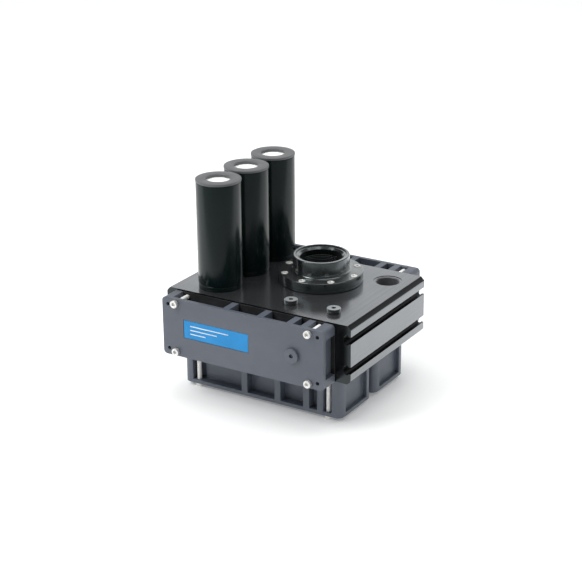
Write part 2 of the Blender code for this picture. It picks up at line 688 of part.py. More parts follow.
def build_cover_screws():
    for name, side in (("front", -1), ("rear", 1)):
        face = side * (BLOCK_DEPTH / 2 + END_COVER_REACH)
        for number, (x, offset) in enumerate(cover_screw_points(END_COVER_HEIGHT / 2), 1):
            build_screw(f"{name}_end_screw_{number}", (x, face, END_COVER_Z + offset), (0, side, 0),
                        END_COVER_REACH + SCREW_GRIP)
        for number, (x, offset) in enumerate(cover_screw_points(BOTTOM_COVER_WIDTH / 2), 1):
            build_screw(f"{name}_bottom_screw_{number}", (x, side * BOTTOM_COVER_Y + offset, HEAD_HEIGHT),
                        (0, 0, -1), BOTTOM_COVER_REACH + SCREW_GRIP)


def build_plug(name, seat, outward, head_radius, head_height, color):
    """A threaded plug with a hexagon socket and a captive sealing washer under its head."""
    washer_top = head_height * 0.42
    chamfer = 0.0006
    neck = head_radius - 0.0012
    washer = head_radius - 0.0003
    profile = [(0.0, head_height), (head_radius - chamfer, head_height),
               (head_radius, head_height - chamfer), (head_radius, washer_top + chamfer),
               (neck, washer_top + chamfer), (neck, washer_top), (washer, washer_top), (washer, GAP),
               (PLUG_SHANK_RADIUS, GAP), (PLUG_SHANK_RADIUS, -PLUG_REACH), (0.0, -PLUG_REACH)]
    turn = Vector((0, 0, 1)).rotation_difference(Vector(outward)).to_matrix().to_4x4()
    place = Matrix.Translation(seat) @ turn
    plug = turned(name, profile, 20, place)
    socket = cylinders(name + "_socket_cutter",
                       [((0, 0, -0.002), (0, 0, head_height + 0.002), PLUG_SOCKET_RADIUS)], 6, CUTTERS)
    socket.matrix_world = place
    boolean(plug, socket)
    return finish_part(plug, color, smooth=True)


def build_plugs():
    for name, (x, y) in (("vacuum_gauge_plug", VACUUM_GAUGE_XY), ("supply_gauge_plug", SUPPLY_GAUGE_XY)):
        build_plug(name, (x, y, BLOCK_TOP), (0, 0, 1), PLUG_HEAD_RADIUS, PLUG_HEAD_HEIGHT, "plug_steel")
    build_plug("test_port_plug", (TEST_PORT_X, front_face_y(), test_port_z()), (0, -1, 0),
               TEST_PLUG_RADIUS, TEST_PLUG_HEIGHT, "cover_grey")


# Vacuum port ------------------------------------------------------------------------------

def build_vacuum_port():
    foot = GAP
    inner_groove, outer_groove = SEAL_GROOVE_RADII
    groove_top = foot + SEAL_GROOVE_DEPTH
    thickness = PORT_FLANGE_THICKNESS
    top = PORT_COLLAR_HEIGHT
    profile = [(PORT_COLLAR_RADIUS - 0.0010, top), (PORT_COLLAR_RADIUS, top - 0.0010),
               (PORT_COLLAR_RADIUS, thickness + 0.0045), (PORT_COLLAR_RADIUS + 0.0008, thickness + 0.0016),
               (PORT_COLLAR_RADIUS + 0.0032, thickness), (PORT_FLANGE_RADIUS - 0.0010, thickness),
               (PORT_FLANGE_RADIUS, thickness - 0.0010), (PORT_FLANGE_RADIUS, foot + 0.0006),
               (PORT_FLANGE_RADIUS - 0.0006, foot), (outer_groove, foot), (outer_groove, groove_top),
               (inner_groove, groove_top), (inner_groove, foot), (PORT_BORE_RADIUS, foot),
               (PORT_BORE_RADIUS, top - 0.0042), (PORT_BORE_RADIUS + 0.0029, top - PORT_SEAT_DEPTH),
               (PORT_SEAT_RADIUS, top - PORT_SEAT_DEPTH), (PORT_SEAT_RADIUS, top)]
    place = Matrix.Translation((PORT_X, PORT_Y, BLOCK_TOP))
    half_step = Matrix.Rotation(math.pi / PORT_SEGMENTS, 4, "Z")    # keeps facet edges off the holes
    port = turned("vacuum_port_flange", profile, PORT_SEGMENTS, place @ half_step)
    seat = BLOCK_TOP + thickness - COUNTERBORE_DEPTH
    above = BLOCK_TOP + thickness + 0.002
    holes = [((x, y, BLOCK_TOP - 0.002), (x, y, above), SCREW_HOLE_RADIUS) for x, y in port_screw_points()]
    boolean(port, cylinders("port_screw_hole_cutter", holes, SCREW_SIDES, CUTTERS))
    sinks = [((x, y, seat), (x, y, above), PORT_HEAD_RADIUS + GAP) for x, y in port_screw_points()]
    boolean(port, cylinders("counterbore_cutter", sinks, SCREW_SIDES, CUTTERS))
    finish_part(port, "anodised_black", smooth=True)
    for number, (x, y) in enumerate(port_screw_points(), 1):
        build_screw(f"port_screw_{number}", (x, y, seat), (0, 0, 1),
                    thickness - COUNTERBORE_DEPTH + PORT_SCREW_GRIP, PORT_HEAD_RADIUS, PORT_HEAD_HEIGHT)
    seal_outer, seal_inner, seal_top = outer_groove - 0.0004, inner_groove + 0.0004, groove_top - 0.0004
    seal = [(seal_outer, seal_top), (seal_outer, GAP), (seal_inner, GAP), (seal_inner, seal_top)]
    finish_part(turned("vacuum_port_seal", seal, 32, place), "seal_black", smooth=True)


# Silencers --------------------------------------------------------------------------------

def build_silencer(number, y):
    """A screw-in base, a tube round a felt core, and a cap with a round outlet."""
    place = Matrix.Translation((SILENCER_X, y, BLOCK_TOP))
    radius = SILENCER_RADIUS
    base_top = SILENCER_BASE_HEIGHT
    cap_low = SILENCER_HEIGHT - SILENCER_CAP_THICKNESS
    neck = SILENCER_NECK_RADIUS
    bore = neck - 0.0050
    base = [(radius - 0.0012, base_top), (radius - 0.0004, base_top - 0.0008), (radius - 0.0004, GAP),
            (neck, GAP), (neck, -TOP_WALL), (bore, -TOP_WALL), (bore, base_top)]
    inner = radius - SILENCER_WALL
    low, high = base_top + GAP, cap_low - GAP
    tube = [(radius, high), (radius, low), (inner, low), (inner, high)]
    outlet = SILENCER_OUTLET_RADIUS
    cap = [(radius - 0.0002, SILENCER_HEIGHT), (radius + 0.0004, SILENCER_HEIGHT - 0.0006),
           (radius + 0.0004, cap_low), (outlet, cap_low), (outlet, SILENCER_HEIGHT)]
    core_top = cap_low - GAP
    core_radius = inner - 0.0004
    duct = 0.0150
    duct_top = core_top - 0.0120
    core = [(0.0, core_top), (core_radius, core_top), (core_radius, base_top + GAP), (duct, base_top + GAP),
            (duct, duct_top), (0.0, duct_top)]
    finish_part(turned(f"silencer_base_{number}", base, 28, place), "silencer_black", smooth=True)
    finish_part(turned(f"silencer_tube_{number}", tube, 28, place), "silencer_black", smooth=True)
    finish_part(turned(f"silencer_cap_{number}", cap, 28, place), "cap_grey", smooth=True)
    finish_part(turned(f"silencer_felt_{number}", core, 20, place), "felt_white", smooth=True)


# Nozzle plates and flap valves --------------------------------------------------------------

def build_nozzle_plate(name, rib_x, ahead, behind, bore, wall):
    """A slide-in plate with one nozzle per row. Air flows through it towards -X.

    `bore` holds the radii at the mouth, the throat and the exit.
    """
    half = NOZZLE_PLATE / 2
    low = TUNNEL_FLOOR - GUIDE_DEPTH + GAP
    high = PARTITION_UNDERSIDE + GUIDE_DEPTH - GAP
    end = BLOCK_DEPTH / 2 - 0.0008
    plate = boxes(name, [((rib_x - half, -end, low), (rib_x + half, end, high))])
    mouth, throat, outlet = bore
    top, bottom = half + ahead, -half - behind
    throat_at = top - 0.35 * (top - bottom)
    outer = [(0.0, top), (mouth + wall, top), (throat + wall, throat_at), (outlet + wall, bottom),
             (0.0, bottom)]
    inner = [(0.0, top + 0.001), (mouth, top + 0.001), (mouth, top), (throat, throat_at),
             (outlet, bottom), (outlet, bottom - 0.001), (0.0, bottom - 0.001)]
    for number, y in enumerate(BANK_Y, 1):
        place = frame_matrix((0, 0, 1), (0, -1, 0), (1, 0, 0), (rib_x, y, NOZZLE_Z))
        body = turned(f"{name}_body_{number}", outer, 12, place, CUTTERS)
        boolean(plate, body, "UNION")
    for number, y in enumerate(BANK_Y, 1):
        place = frame_matrix((0, 0, 1), (0, -1, 0), (1, 0, 0), (rib_x, y, NOZZLE_Z))
        hole = turned(f"{name}_bore_{number}", inner, 12, place, CUTTERS)
        boolean(plate, hole)
    return finish_part(plate, "nozzle_brass", smooth=True)


def build_nozzles():
    build_nozzle_plate("stage_1_nozzle_plate", RIB_X[3], 0.0100, 0.0050, (0.0050, 0.0016, 0.0026), 0.0022)
    build_nozzle_plate("stage_2_nozzle_plate", RIB_X[2], 0.0050, 0.0140, (0.0062, 0.0038, 0.0048), 0.0022)
    build_nozzle_plate("stage_3_nozzle_plate", RIB_X[1], 0.0120, 0.0180, (0.0092, 0.0060, 0.0074), 0.0022)
    build_nozzle_plate("diffuser_plate", RIB_X[0], 0.0140, 0.0420, (0.0120, 0.0086, 0.0110), 0.0022)


def build_flap(name, hinge_x, middle_y):
    """A rubber flap with a round bead. Its origin is on the bead's axis, which is its hinge."""
    top = -BEAD_ABOVE_PARTITION - GAP
    half = FLAP_WIDTH / 2
    leaf = boxes(name, [((-FLAP_HEEL, -half, top - FLAP_THICKNESS), (FLAP_LENGTH, half, top))])
    bead_half = half + 0.0004
    rod = ((0, -bead_half, 0), (0, bead_half, 0), FLAP_BEAD_RADIUS)
    bead = cylinders(name + "_bead", [rod], 12, CUTTERS)
    boolean(leaf, bead, "UNION")
    place = Matrix.Translation((hinge_x, middle_y, PARTITION_UNDERSIDE + BEAD_ABOVE_PARTITION))
    leaf.matrix_world = place
    bead.matrix_world = place
    return finish_part(leaf, "flap_rubber")


def build_flaps():
    for stage, hinge_x in (("stage_2", STAGE_2_HINGE_X), ("stage_3", STAGE_3_HINGE_X)):
        for side, y in zip(("front", "rear"), FLAP_Y):
            build_flap(f"{stage}_flap_{side}", hinge_x, y)


# Assembly -----------------------------------------------------------------------------------

build_block()
build_covers()
build_name_plate()
build_cover_screws()
build_vacuum_port()
build_plugs()
for bank_number, bank_y in enumerate(BANK_Y, 1):
    build_silencer(bank_number, bank_y)
build_nozzles()
build_flaps()
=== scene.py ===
"""Looks of the vacuum generator: fine shapes, materials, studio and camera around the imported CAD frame."""

import json
import math

import bmesh
import bpy
import numpy as np
from mathutils import Matrix, Vector, noise


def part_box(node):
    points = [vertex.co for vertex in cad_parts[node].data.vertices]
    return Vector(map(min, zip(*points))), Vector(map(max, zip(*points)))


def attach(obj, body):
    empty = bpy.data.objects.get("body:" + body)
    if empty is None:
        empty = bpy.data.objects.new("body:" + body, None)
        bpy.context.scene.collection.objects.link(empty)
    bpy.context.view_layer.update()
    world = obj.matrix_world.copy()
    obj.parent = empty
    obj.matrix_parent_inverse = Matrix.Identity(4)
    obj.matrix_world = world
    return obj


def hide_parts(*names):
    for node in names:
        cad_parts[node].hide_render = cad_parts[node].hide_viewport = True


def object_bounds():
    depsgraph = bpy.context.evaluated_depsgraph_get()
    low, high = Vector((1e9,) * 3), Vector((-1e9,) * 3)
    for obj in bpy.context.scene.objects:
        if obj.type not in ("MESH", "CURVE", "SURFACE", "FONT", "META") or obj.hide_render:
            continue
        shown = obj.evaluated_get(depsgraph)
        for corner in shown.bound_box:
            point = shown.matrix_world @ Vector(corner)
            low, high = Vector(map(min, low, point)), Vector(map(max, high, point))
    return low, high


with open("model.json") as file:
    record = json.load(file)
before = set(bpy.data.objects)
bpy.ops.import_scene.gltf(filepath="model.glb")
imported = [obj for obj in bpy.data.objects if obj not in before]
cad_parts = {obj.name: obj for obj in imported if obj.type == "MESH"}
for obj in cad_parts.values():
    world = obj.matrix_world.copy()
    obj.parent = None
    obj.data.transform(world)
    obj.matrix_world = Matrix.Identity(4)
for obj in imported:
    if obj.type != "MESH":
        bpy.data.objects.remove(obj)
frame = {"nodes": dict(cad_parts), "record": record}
CAD_LOW, CAD_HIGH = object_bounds()

MM = 0.001
HOUSING = "housing"
GAP = 0.3 * MM                          # clearance between pieces that touch
PORT_SCREWS = 8
FLAT_ANGLE = math.radians(0.6)          # faces closer than this to one plane count as flat


# Node materials -----------------------------------------------------------------------------

class Shader:
    """A small helper that builds one Principled material from nodes, in object coordinates."""

    def __init__(self, name, **values):
        self.material = bpy.data.materials.new(name)
        self.material.use_nodes = True
        self.nodes = self.material.node_tree.nodes
        self.links = self.material.node_tree.links
        self.principled = self.nodes["Principled BSDF"]
        self.coordinates = self.add("ShaderNodeTexCoord").outputs["Object"]
        for key, value in values.items():
            self.principled.inputs[key.replace("_", " ")].default_value = value

    def add(self, kind, **settings):
        node = self.nodes.new(kind)
        for key, value in settings.items():
            setattr(node, key, value)
        return node

    def join(self, source, target):
        self.links.new(source, target)

    def stretched(self, scale):
        """Object coordinates scaled by (x, y, z), for grain that runs one way."""
        mapping = self.add("ShaderNodeMapping")
        mapping.inputs["Scale"].default_value = scale
        self.join(self.coordinates, mapping.inputs["Vector"])
        return mapping.outputs["Vector"]

    def noise(self, scale, detail=3.0, roughness=0.55, vector=None):
        node = self.add("ShaderNodeTexNoise")
        node.inputs["Scale"].default_value = scale
        node.inputs["Detail"].default_value = detail
        node.inputs["Roughness"].default_value = roughness
        self.join(vector or self.coordinates, node.inputs["Vector"])
        return node.outputs["Fac"]

    def cells(self, scale, vector=None):
        node = self.add("ShaderNodeTexVoronoi")
        node.inputs["Scale"].default_value = scale
        self.join(vector or self.coordinates, node.inputs["Vector"])
        return node.outputs["Distance"]

    def remap(self, value, low, high, new_low=0.0, new_high=1.0):
        node = self.add("ShaderNodeMapRange")
        ranges = {"From Min": low, "From Max": high, "To Min": new_low, "To Max": new_high}
        for key, number in ranges.items():
            node.inputs[key].default_value = number
        self.join(value, node.inputs["Value"])
        return node.outputs["Result"]

    def math(self, operation, first, second):
        node = self.add("ShaderNodeMath", operation=operation)
        for socket, value in zip(node.inputs, (first, second)):
            if isinstance(value, (int, float)):
                socket.default_value = value
            else:
                self.join(value, socket)
        return node.outputs["Value"]

    def mix(self, factor, first, second):
        """Mix two colours, each a tuple or a socket."""
        node = self.add("ShaderNodeMix", data_type="RGBA")
        if isinstance(factor, (int, float)):
            node.inputs[0].default_value = factor
        else:
            self.join(factor, node.inputs[0])
        for socket, value in ((node.inputs[6], first), (node.inputs[7], second)):
            if isinstance(value, tuple):
                socket.default_value = (*value, 1.0)
            else:
                self.join(value, socket)
        return node.outputs[2]

    def edges(self, radius, low=0.02, high=0.25):
        """A mask that is 1 along convex and concave edges within the radius."""
        bevel = self.add("ShaderNodeBevel", samples=4)
        bevel.inputs["Radius"].default_value = radius
        geometry = self.add("ShaderNodeNewGeometry")
        dot = self.add("ShaderNodeVectorMath", operation="DOT_PRODUCT")
        self.join(bevel.outputs["Normal"], dot.inputs[0])
        self.join(geometry.outputs["True Normal"], dot.inputs[1])
        away = self.math("SUBTRACT", 1.0, dot.outputs["Value"])
        return self.remap(away, low, high)

    def bump(self, height, strength, distance):
        node = self.add("ShaderNodeBump")
        node.inputs["Strength"].default_value = strength
        node.inputs["Distance"].default_value = distance
        if self.principled.inputs["Normal"].is_linked:
            before = self.principled.inputs["Normal"].links[0].from_socket
            self.join(before, node.inputs["Normal"])
        self.join(height, node.inputs["Height"])
        self.join(node.outputs["Normal"], self.principled.inputs["Normal"])

    def color(self, value):
        self.join(value, self.principled.inputs["Base Color"])

    def roughness(self, value):
        self.join(value, self.principled.inputs["Roughness"])


def wear_and_edge_highlight(shader, body, bright, wear_and_highlight_radius, amount):
    """Lighten the edges, broken up by noise: partly rubbed wear, partly a painted highlight that stands in
    for light caught on rounded edges.
    """
    patches = shader.remap(shader.noise(160.0, 4.0), 0.45, 0.68)
    mask = shader.math("MULTIPLY", shader.edges(wear_and_highlight_radius), patches)
    return shader.mix(shader.math("MULTIPLY", mask, amount), body, bright)


def anodised_material(name, grain, head_on, glancing, roughness=0.17, metallic=0.93):
    """Black anodised aluminium: drawn or turned grain, faint cloudiness, and edges lightened partly as
    rubbed wear and partly as a painted highlight.

    Its clear oxide layer makes it black head on and a mirror at a glancing angle.
    """
    look = Shader(name, Metallic=metallic, IOR=1.5)
    cloud = look.remap(look.noise(9.0, 3.0), 0.30, 0.70, 0.90, 1.06)
    lines = look.noise(1.0, 3.0, 0.6, look.stretched(grain))
    weight = look.add("ShaderNodeLayerWeight")
    tilt = look.remap(weight.outputs["Facing"], 0.34, 0.60)
    base = look.mix(look.math("MULTIPLY", tilt, cloud), head_on, glancing)
    base = look.mix(look.remap(lines, 0.35, 0.70, 0.0, 0.16), base, head_on)
    look.color(wear_and_edge_highlight(look, base, (0.40, 0.41, 0.43), 0.6 * MM, 0.22))
    fine = look.remap(look.noise(700.0, 2.0), 0.3, 0.7, 0.0, 0.03)
    look.roughness(look.math("ADD", look.remap(lines, 0.3, 0.7, roughness - 0.02, roughness + 0.03), fine))
    look.bump(lines, 0.03, 0.02 * MM)
    return look.material


def moulded_material(name, dark, light):
    """Moulded nylon: fine spark-eroded grain, flow clouds, and edges lightened partly as rubbed wear and
    partly as a painted highlight.
    """
    look = Shader(name, Metallic=0.0, IOR=1.48)
    look.principled.inputs["Specular IOR Level"].default_value = 0.75
    flow = look.remap(look.noise(7.0, 4.0, 0.6, look.stretched((1.0, 2.2, 2.2))), 0.32, 0.70)
    speck = look.remap(look.noise(1500.0, 2.0), 0.35, 0.75, 0.0, 0.35)
    base = look.mix(speck, look.mix(flow, dark, light), tuple(1.25 * c for c in light))
    look.color(wear_and_edge_highlight(look, base, tuple(min(1.0, 2.1 * c) for c in light), 0.6 * MM, 0.5))
    look.roughness(look.remap(look.noise(60.0, 3.0), 0.3, 0.7, 0.38, 0.52))
    look.bump(look.cells(1900.0), 0.22, 0.05 * MM)
    look.bump(look.noise(260.0, 3.0), 0.10, 0.08 * MM)
    return look.material


def rubber_material(name, dark, light):
    look = Shader(name, Metallic=0.0, IOR=1.5)
    bloom = look.remap(look.noise(45.0, 4.0), 0.40, 0.75)
    look.color(look.mix(bloom, dark, light))
    look.roughness(look.remap(look.noise(90.0, 3.0), 0.3, 0.7, 0.62, 0.82))
    look.bump(look.noise(1100.0, 2.0), 0.20, 0.06 * MM)
    return look.material


def plated_material(name, dark, light, roughness, metallic):
    """Plated steel: bright, with cloudy passivation and turning marks."""
    look = Shader(name, Metallic=metallic)
    cloud = look.remap(look.noise(420.0, 3.0), 0.30, 0.72)
    base = look.mix(cloud, dark, light)
    # Lighter edges: partly rubbed wear, partly a painted highlight.
    look.color(wear_and_edge_highlight(look, base, tuple(min(1.0, 1.3 * c) for c in light), 0.25 * MM, 0.6))
    look.roughness(look.remap(look.noise(900.0, 2.0), 0.3, 0.7, roughness - 0.05, roughness + 0.09))
    look.bump(look.noise(1.0, 2.0, 0.5, look.stretched((300.0, 300.0, 2600.0))), 0.06, 0.03 * MM)
    return look.material


def lacquer_material(name):
    """Gloss black lacquer on the silencer tubes, with faint orange peel and dust."""
    look = Shader(name, Metallic=0.0, IOR=1.40)
    cloud = look.remap(look.noise(14.0, 3.0), 0.35, 0.70)
    dust = look.remap(look.noise(2400.0, 2.0), 0.70, 0.82, 0.0, 0.5)
    base = look.mix(cloud, (0.0030, 0.0085, 0.0085), (0.0050, 0.0120, 0.0120))
    look.color(look.mix(dust, base, (0.030, 0.036, 0.036)))
    look.roughness(look.remap(look.noise(55.0, 4.0), 0.3, 0.7, 0.17, 0.26))
    look.bump(look.noise(420.0, 2.0), 0.05, 0.05 * MM)
    return look.material


def felt_material(name):
    """White felt: matted fibres in two directions over a soft, uneven white."""
    look = Shader(name, Metallic=0.0)
    look.principled.inputs["Sheen Weight"].default_value = 0.35
    look.principled.inputs["Subsurface Weight"].default_value = 0.15
    look.principled.inputs["Subsurface Radius"].default_value = (0.6 * MM, 0.6 * MM, 0.6 * MM)
    one_way = look.noise(1.0, 4.0, 0.7, look.stretched((500.0, 2600.0, 900.0)))
    other_way = look.noise(1.0, 4.0, 0.7, look.stretched((2600.0, 600.0, 900.0)))
    fibres = look.math("MAXIMUM", one_way, other_way)
    shade = look.remap(look.noise(120.0, 3.0), 0.3, 0.7)
    base = look.mix(shade, (0.88, 0.89, 0.88), (0.96, 0.97, 0.96))
    look.color(look.mix(look.remap(fibres, 0.55, 0.30, 0.0, 0.6), base, (0.60, 0.62, 0.62)))
    look.roughness(look.remap(fibres, 0.3, 0.7, 0.98, 0.85))
    look.bump(fibres, 0.7, 0.35 * MM)
    return look.material


def brass_material(name):
    look = Shader(name, Metallic=1.0)
    tarnish = look.remap(look.noise(60.0, 4.0), 0.42, 0.72)
    look.color(look.mix(tarnish, (0.68, 0.50, 0.21), (0.42, 0.29, 0.13)))
    look.roughness(look.remap(look.noise(240.0, 3.0), 0.3, 0.7, 0.22, 0.38))
    look.bump(look.noise(1.0, 3.0, 0.6, look.stretched((900.0, 40.0, 900.0))), 0.12, 0.05 * MM)
    return look.material


def print_material(name, dark, light):
    """Screen-printed film: a thin clear coat over slightly uneven ink."""
    look = Shader(name, Metallic=0.0)
    look.principled.inputs["Specular IOR Level"].default_value = 0.3
    look.principled.inputs["Coat Weight"].default_value = 0.15
    look.principled.inputs["Coat Roughness"].default_value = 0.15
    ink = look.remap(look.noise(30.0, 3.0), 0.3, 0.7)
    screen = look.remap(look.cells(1400.0), 0.1, 0.5, 0.0, 0.10)
    look.color(look.mix(screen, look.mix(ink, dark, light), tuple(0.7 * c for c in dark)))
    look.roughness(look.remap(look.noise(300.0, 2.0), 0.3, 0.7, 0.34, 0.46))
    look.bump(look.noise(500.0, 2.0), 0.05, 0.04 * MM)
    return look.material


MATERIALS = {
    "anodised_black": anodised_material("anodised_black", (900.0, 6.0, 900.0), (0.050, 0.056, 0.058),
                                        (0.300, 0.309, 0.326)),
    # A darker copy of the anodised black: painted shade for the T-slots and the side chamfers.
    "slot_painted_shade": anodised_material("slot_painted_shade", (900.0, 6.0, 900.0), (0.012, 0.014, 0.015),
                                    (0.030, 0.032, 0.034)),
    "turned_black": anodised_material("turned_black", (60.0, 60.0, 2400.0), (0.110, 0.124, 0.126),
                                      (0.290, 0.305, 0.312)),
    "cover_grey": moulded_material("cover_grey", (0.072, 0.084, 0.110), (0.090, 0.102, 0.128)),
    "cover_slate": moulded_material("cover_slate", (0.078, 0.094, 0.124), (0.100, 0.116, 0.148)),
    "seal_black": rubber_material("seal_black", (0.010, 0.010, 0.011), (0.030, 0.030, 0.031)),
    "bright_steel": plated_material("bright_steel", (0.80, 0.79, 0.76), (0.93, 0.92, 0.90), 0.36, 0.6),
    # A whiter, less metallic copy of the same steel for the screw shanks: a painted highlight that keeps
    # them bright in the dark pockets they stand in.
    "shank_steel_painted_light": plated_material("shank_steel_painted_light", (0.92, 0.91, 0.88), (1.0, 0.99, 0.97), 0.34, 0.1),
    "silencer_black": lacquer_material("silencer_black"),
    "cap_grey": moulded_material("cap_grey", (0.078, 0.081, 0.086), (0.100, 0.103, 0.108)),
    "felt_white": felt_material("felt_white"),
    "inlet_grey": anodised_material("inlet_grey", (60.0, 60.0, 2400.0), (0.150, 0.154, 0.166),
                                    (0.260, 0.265, 0.280), 0.45, 0.4),
    "plug_steel": anodised_material("plug_steel", (60.0, 60.0, 2400.0), (0.055, 0.061, 0.064),
                                    (0.520, 0.540, 0.560), 0.42, 0.65),
    "plate_blue": print_material("plate_blue", (0.004, 0.222, 0.540), (0.012, 0.262, 0.620)),
    "plate_ink": print_material("plate_ink", (0.70, 0.78, 0.86), (0.82, 0.88, 0.93)),
    "nozzle_brass": brass_material("nozzle_brass"),
    "flap_rubber": rubber_material("flap_rubber", (0.060, 0.018, 0.014), (0.115, 0.045, 0.036)),
}


# Mesh helpers ---------------------------------------------------------------------------------

def place_piece(name, mesh, material, body, nodes=(), smooth_angle=None):
    """Link a mesh, colour it, fix it to a body and let it stand for the CAD nodes given."""
    piece = bpy.data.objects.new(name, mesh)
    bpy.context.scene.collection.objects.link(piece)
    mesh.materials.clear()
    mesh.materials.append(MATERIALS[material])
    if smooth_angle:
        mesh.shade_smooth()
        mesh.set_sharp_from_angle(angle=math.radians(smooth_angle))
    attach(piece, body)
    if nodes:
        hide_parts(*nodes)
    return piece


def flat_edges(form):
    return [edge for edge in form.edges if edge.calc_face_angle(1.0) < FLAT_ANGLE]


def clearance(edge, points):
    """Distance from an edge to the nearest vertex that isn't one of its own."""
    start, end = (np.array(vertex.co) for vertex in edge.verts)
    along = end - start
    share = np.clip(((points - start) @ along) / max(along @ along, 1e-18), 0.0, 1.0)
    distances = np.linalg.norm(points - start - share[:, None] * along, axis=1)
    distances[[vertex.index for vertex in edge.verts]] = np.inf
    return distances.min()


def divide_evenly(form):
    """Divide each flat region with as few edges as its holes allow, none of them close past a corner.

    A bevel can then move the corners without folding the flat faces over.
    """
    bmesh.ops.triangulate(form, faces=form.faces, quad_method="BEAUTY", ngon_method="BEAUTY")
    bmesh.ops.beautify_fill(form, faces=form.faces, edges=flat_edges(form), method="ANGLE")
    form.verts.index_update()
    points = np.array([vertex.co for vertex in form.verts])
    dividing = [(clearance(edge, points), number, edge) for number, edge in enumerate(flat_edges(form))]
    for _, _, edge in sorted(dividing):
        first, second = edge.link_faces
        if len(set(first.verts) & set(second.verts)) == 2:
            bmesh.utils.face_join((first, second))


def cad_copy(node):
    """A cleaned copy of a CAD node's mesh: welded, with its flat regions divided evenly."""
    form = bmesh.new()
    form.from_mesh(frame["nodes"][node].data)
    bmesh.ops.remove_doubles(form, verts=form.verts, dist=0.00001)
    bmesh.ops.dissolve_limit(form, angle_limit=FLAT_ANGLE, use_dissolve_boundaries=False,
                             verts=form.verts, edges=form.edges)
    divide_evenly(form)
    bmesh.ops.recalc_face_normals(form, faces=form.faces)
    mesh = bpy.data.meshes.new(node + "_visual")
    form.to_mesh(mesh)
    form.free()
    return mesh


def soften(piece, width, segments=2, angle=40.0):
    """Round the sharp edges of a piece with real geometry."""
    bevel = piece.modifiers.new("round_edges", "BEVEL")
    bevel.width = width
    bevel.segments = segments
    bevel.limit_method = "ANGLE"
    bevel.angle_limit = math.radians(angle)
    bevel.use_clamp_overlap = True
    even = piece.modifiers.new("even_normals", "WEIGHTED_NORMAL")
    even.keep_sharp = False
    return piece


def softened_copy(node, material, body, width, segments=2):
    piece = place_piece(node + "_visual", cad_copy(node), material, body, (node,), smooth_angle=180.0)
    return soften(piece, width, segments)


def turned_mesh(name, rings, segments, place, closed=True):
    """A solid of revolution from rings of (radius, height).

    A radius may be a function of the angle, for knurls and hexagons. A closed profile is joined to
    itself, and an open one starts and ends on the axis and is capped there.
    """
    form = bmesh.new()
    loops = []
    for radius, height in rings:
        loop = []
        for step in range(segments):
            angle = math.tau * step / segments
            reach = radius(angle) if callable(radius) else radius
            loop.append(form.verts.new((reach * math.cos(angle), reach * math.sin(angle), height)))
        loops.append(loop)
    pairs = list(zip(loops, loops[1:]))
    if closed:
        pairs.append((loops[-1], loops[0]))
    else:
        form.faces.new(loops[0])
        form.faces.new(list(reversed(loops[-1])))
    for upper, lower in pairs:
        for step in range(segments):
            after = (step + 1) % segments
            form.faces.new((upper[step], lower[step], lower[after], upper[after]))
    form.transform(place)
    bmesh.ops.recalc_face_normals(form, faces=form.faces)
    mesh = bpy.data.meshes.new(name)
    form.to_mesh(mesh)
    form.free()
    return mesh


def arc(centre, radius, start, end, steps=4):
    """Profile points of a round corner, in (radius, height), angles in degrees."""
    points = []
    for step in range(steps + 1):
        angle = math.radians(start + (end - start) * step / steps)
        points.append((centre[0] + radius * math.cos(angle), centre[1] + radius * math.sin(angle)))
    return points


def axis_frame(node, axis):
    """A matrix that stands at the middle of a node's box and turns +Z to the given axis."""
    low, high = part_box(node)
    middle = (low + high) / 2
    turn = Vector((0, 0, 1)).rotation_difference(Vector(axis)).to_matrix().to_4x4()
    return Matrix.Translation(middle) @ turn


def extent(node, axis):
    """Half the node's length along an axis, and its largest half-width across it."""
    low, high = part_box(node)
    size = high - low
    along = max(range(3), key=lambda i: abs(axis[i]))
    across = max(size[i] for i in range(3) if i != along)
    return size[along] / 2, across / 2


# Screws and plugs -----------------------------------------------------------------------------

def hexagon(apothem):
    """Radius of a hexagon at an angle."""
    def radius(angle):
        return apothem / math.cos((angle % (math.pi / 3)) - math.pi / 6)
    return radius


def knurl(radius, depth, teeth):
    """Radius of a knurled ring: straight teeth cut into a round head."""
    def at(angle):
        return radius - depth * (0.5 + 0.5 * math.cos(teeth * angle))
    return at


def screw_piece(node, outward, head_height, socket_apothem, knurled):
    """A socket-head screw with a rounded rim, a hexagon socket and a plain shank."""
    top, head_radius = extent(node, outward)
    tip = -top
    seat = top - head_height + GAP
    shank = 3.1 * MM
    shank_chamfer = 0.5 * MM
    rim = 0.55 * MM
    broken = 0.25 * MM                  # small chamfers
    socket_floor = top - 2.6 * MM
    socket = hexagon(socket_apothem)
    socket_lip = hexagon(1.1 * socket_apothem)
    side = knurl(head_radius, 0.14 * MM, 36) if knurled else head_radius
    rings = [(0.9 * MM, socket_floor - 0.5 * MM), (socket, socket_floor), (socket, top - broken)]
    rings += [(socket_lip, top), (head_radius - rim, top)]
    rings += arc((head_radius - rim, top - rim), rim, 80, 20, 3)
    rings += [(side, top - rim - broken), (side, seat + 0.55 * MM),
              (head_radius - 0.15 * MM, seat + broken), (head_radius - 0.35 * MM, seat)]
    rings += [(shank + broken, seat), (shank, seat - broken),
              (shank, tip + shank_chamfer), (shank - shank_chamfer, tip)]
    stand = axis_frame(node, outward)
    mesh = turned_mesh(node + "_visual", rings, 72, stand, closed=False)
    piece = place_piece(node + "_visual", mesh, "bright_steel", HOUSING, (node,), smooth_angle=32.0)
    # The shank takes the whiter, less metallic copy of the steel: a painted highlight.
    mesh.materials.append(MATERIALS["shank_steel_painted_light"])
    to_screw = stand.inverted()
    for face in mesh.polygons:
        if (to_screw @ face.center).z < seat - 0.1 * MM:
            face.material_index = 1
    return piece


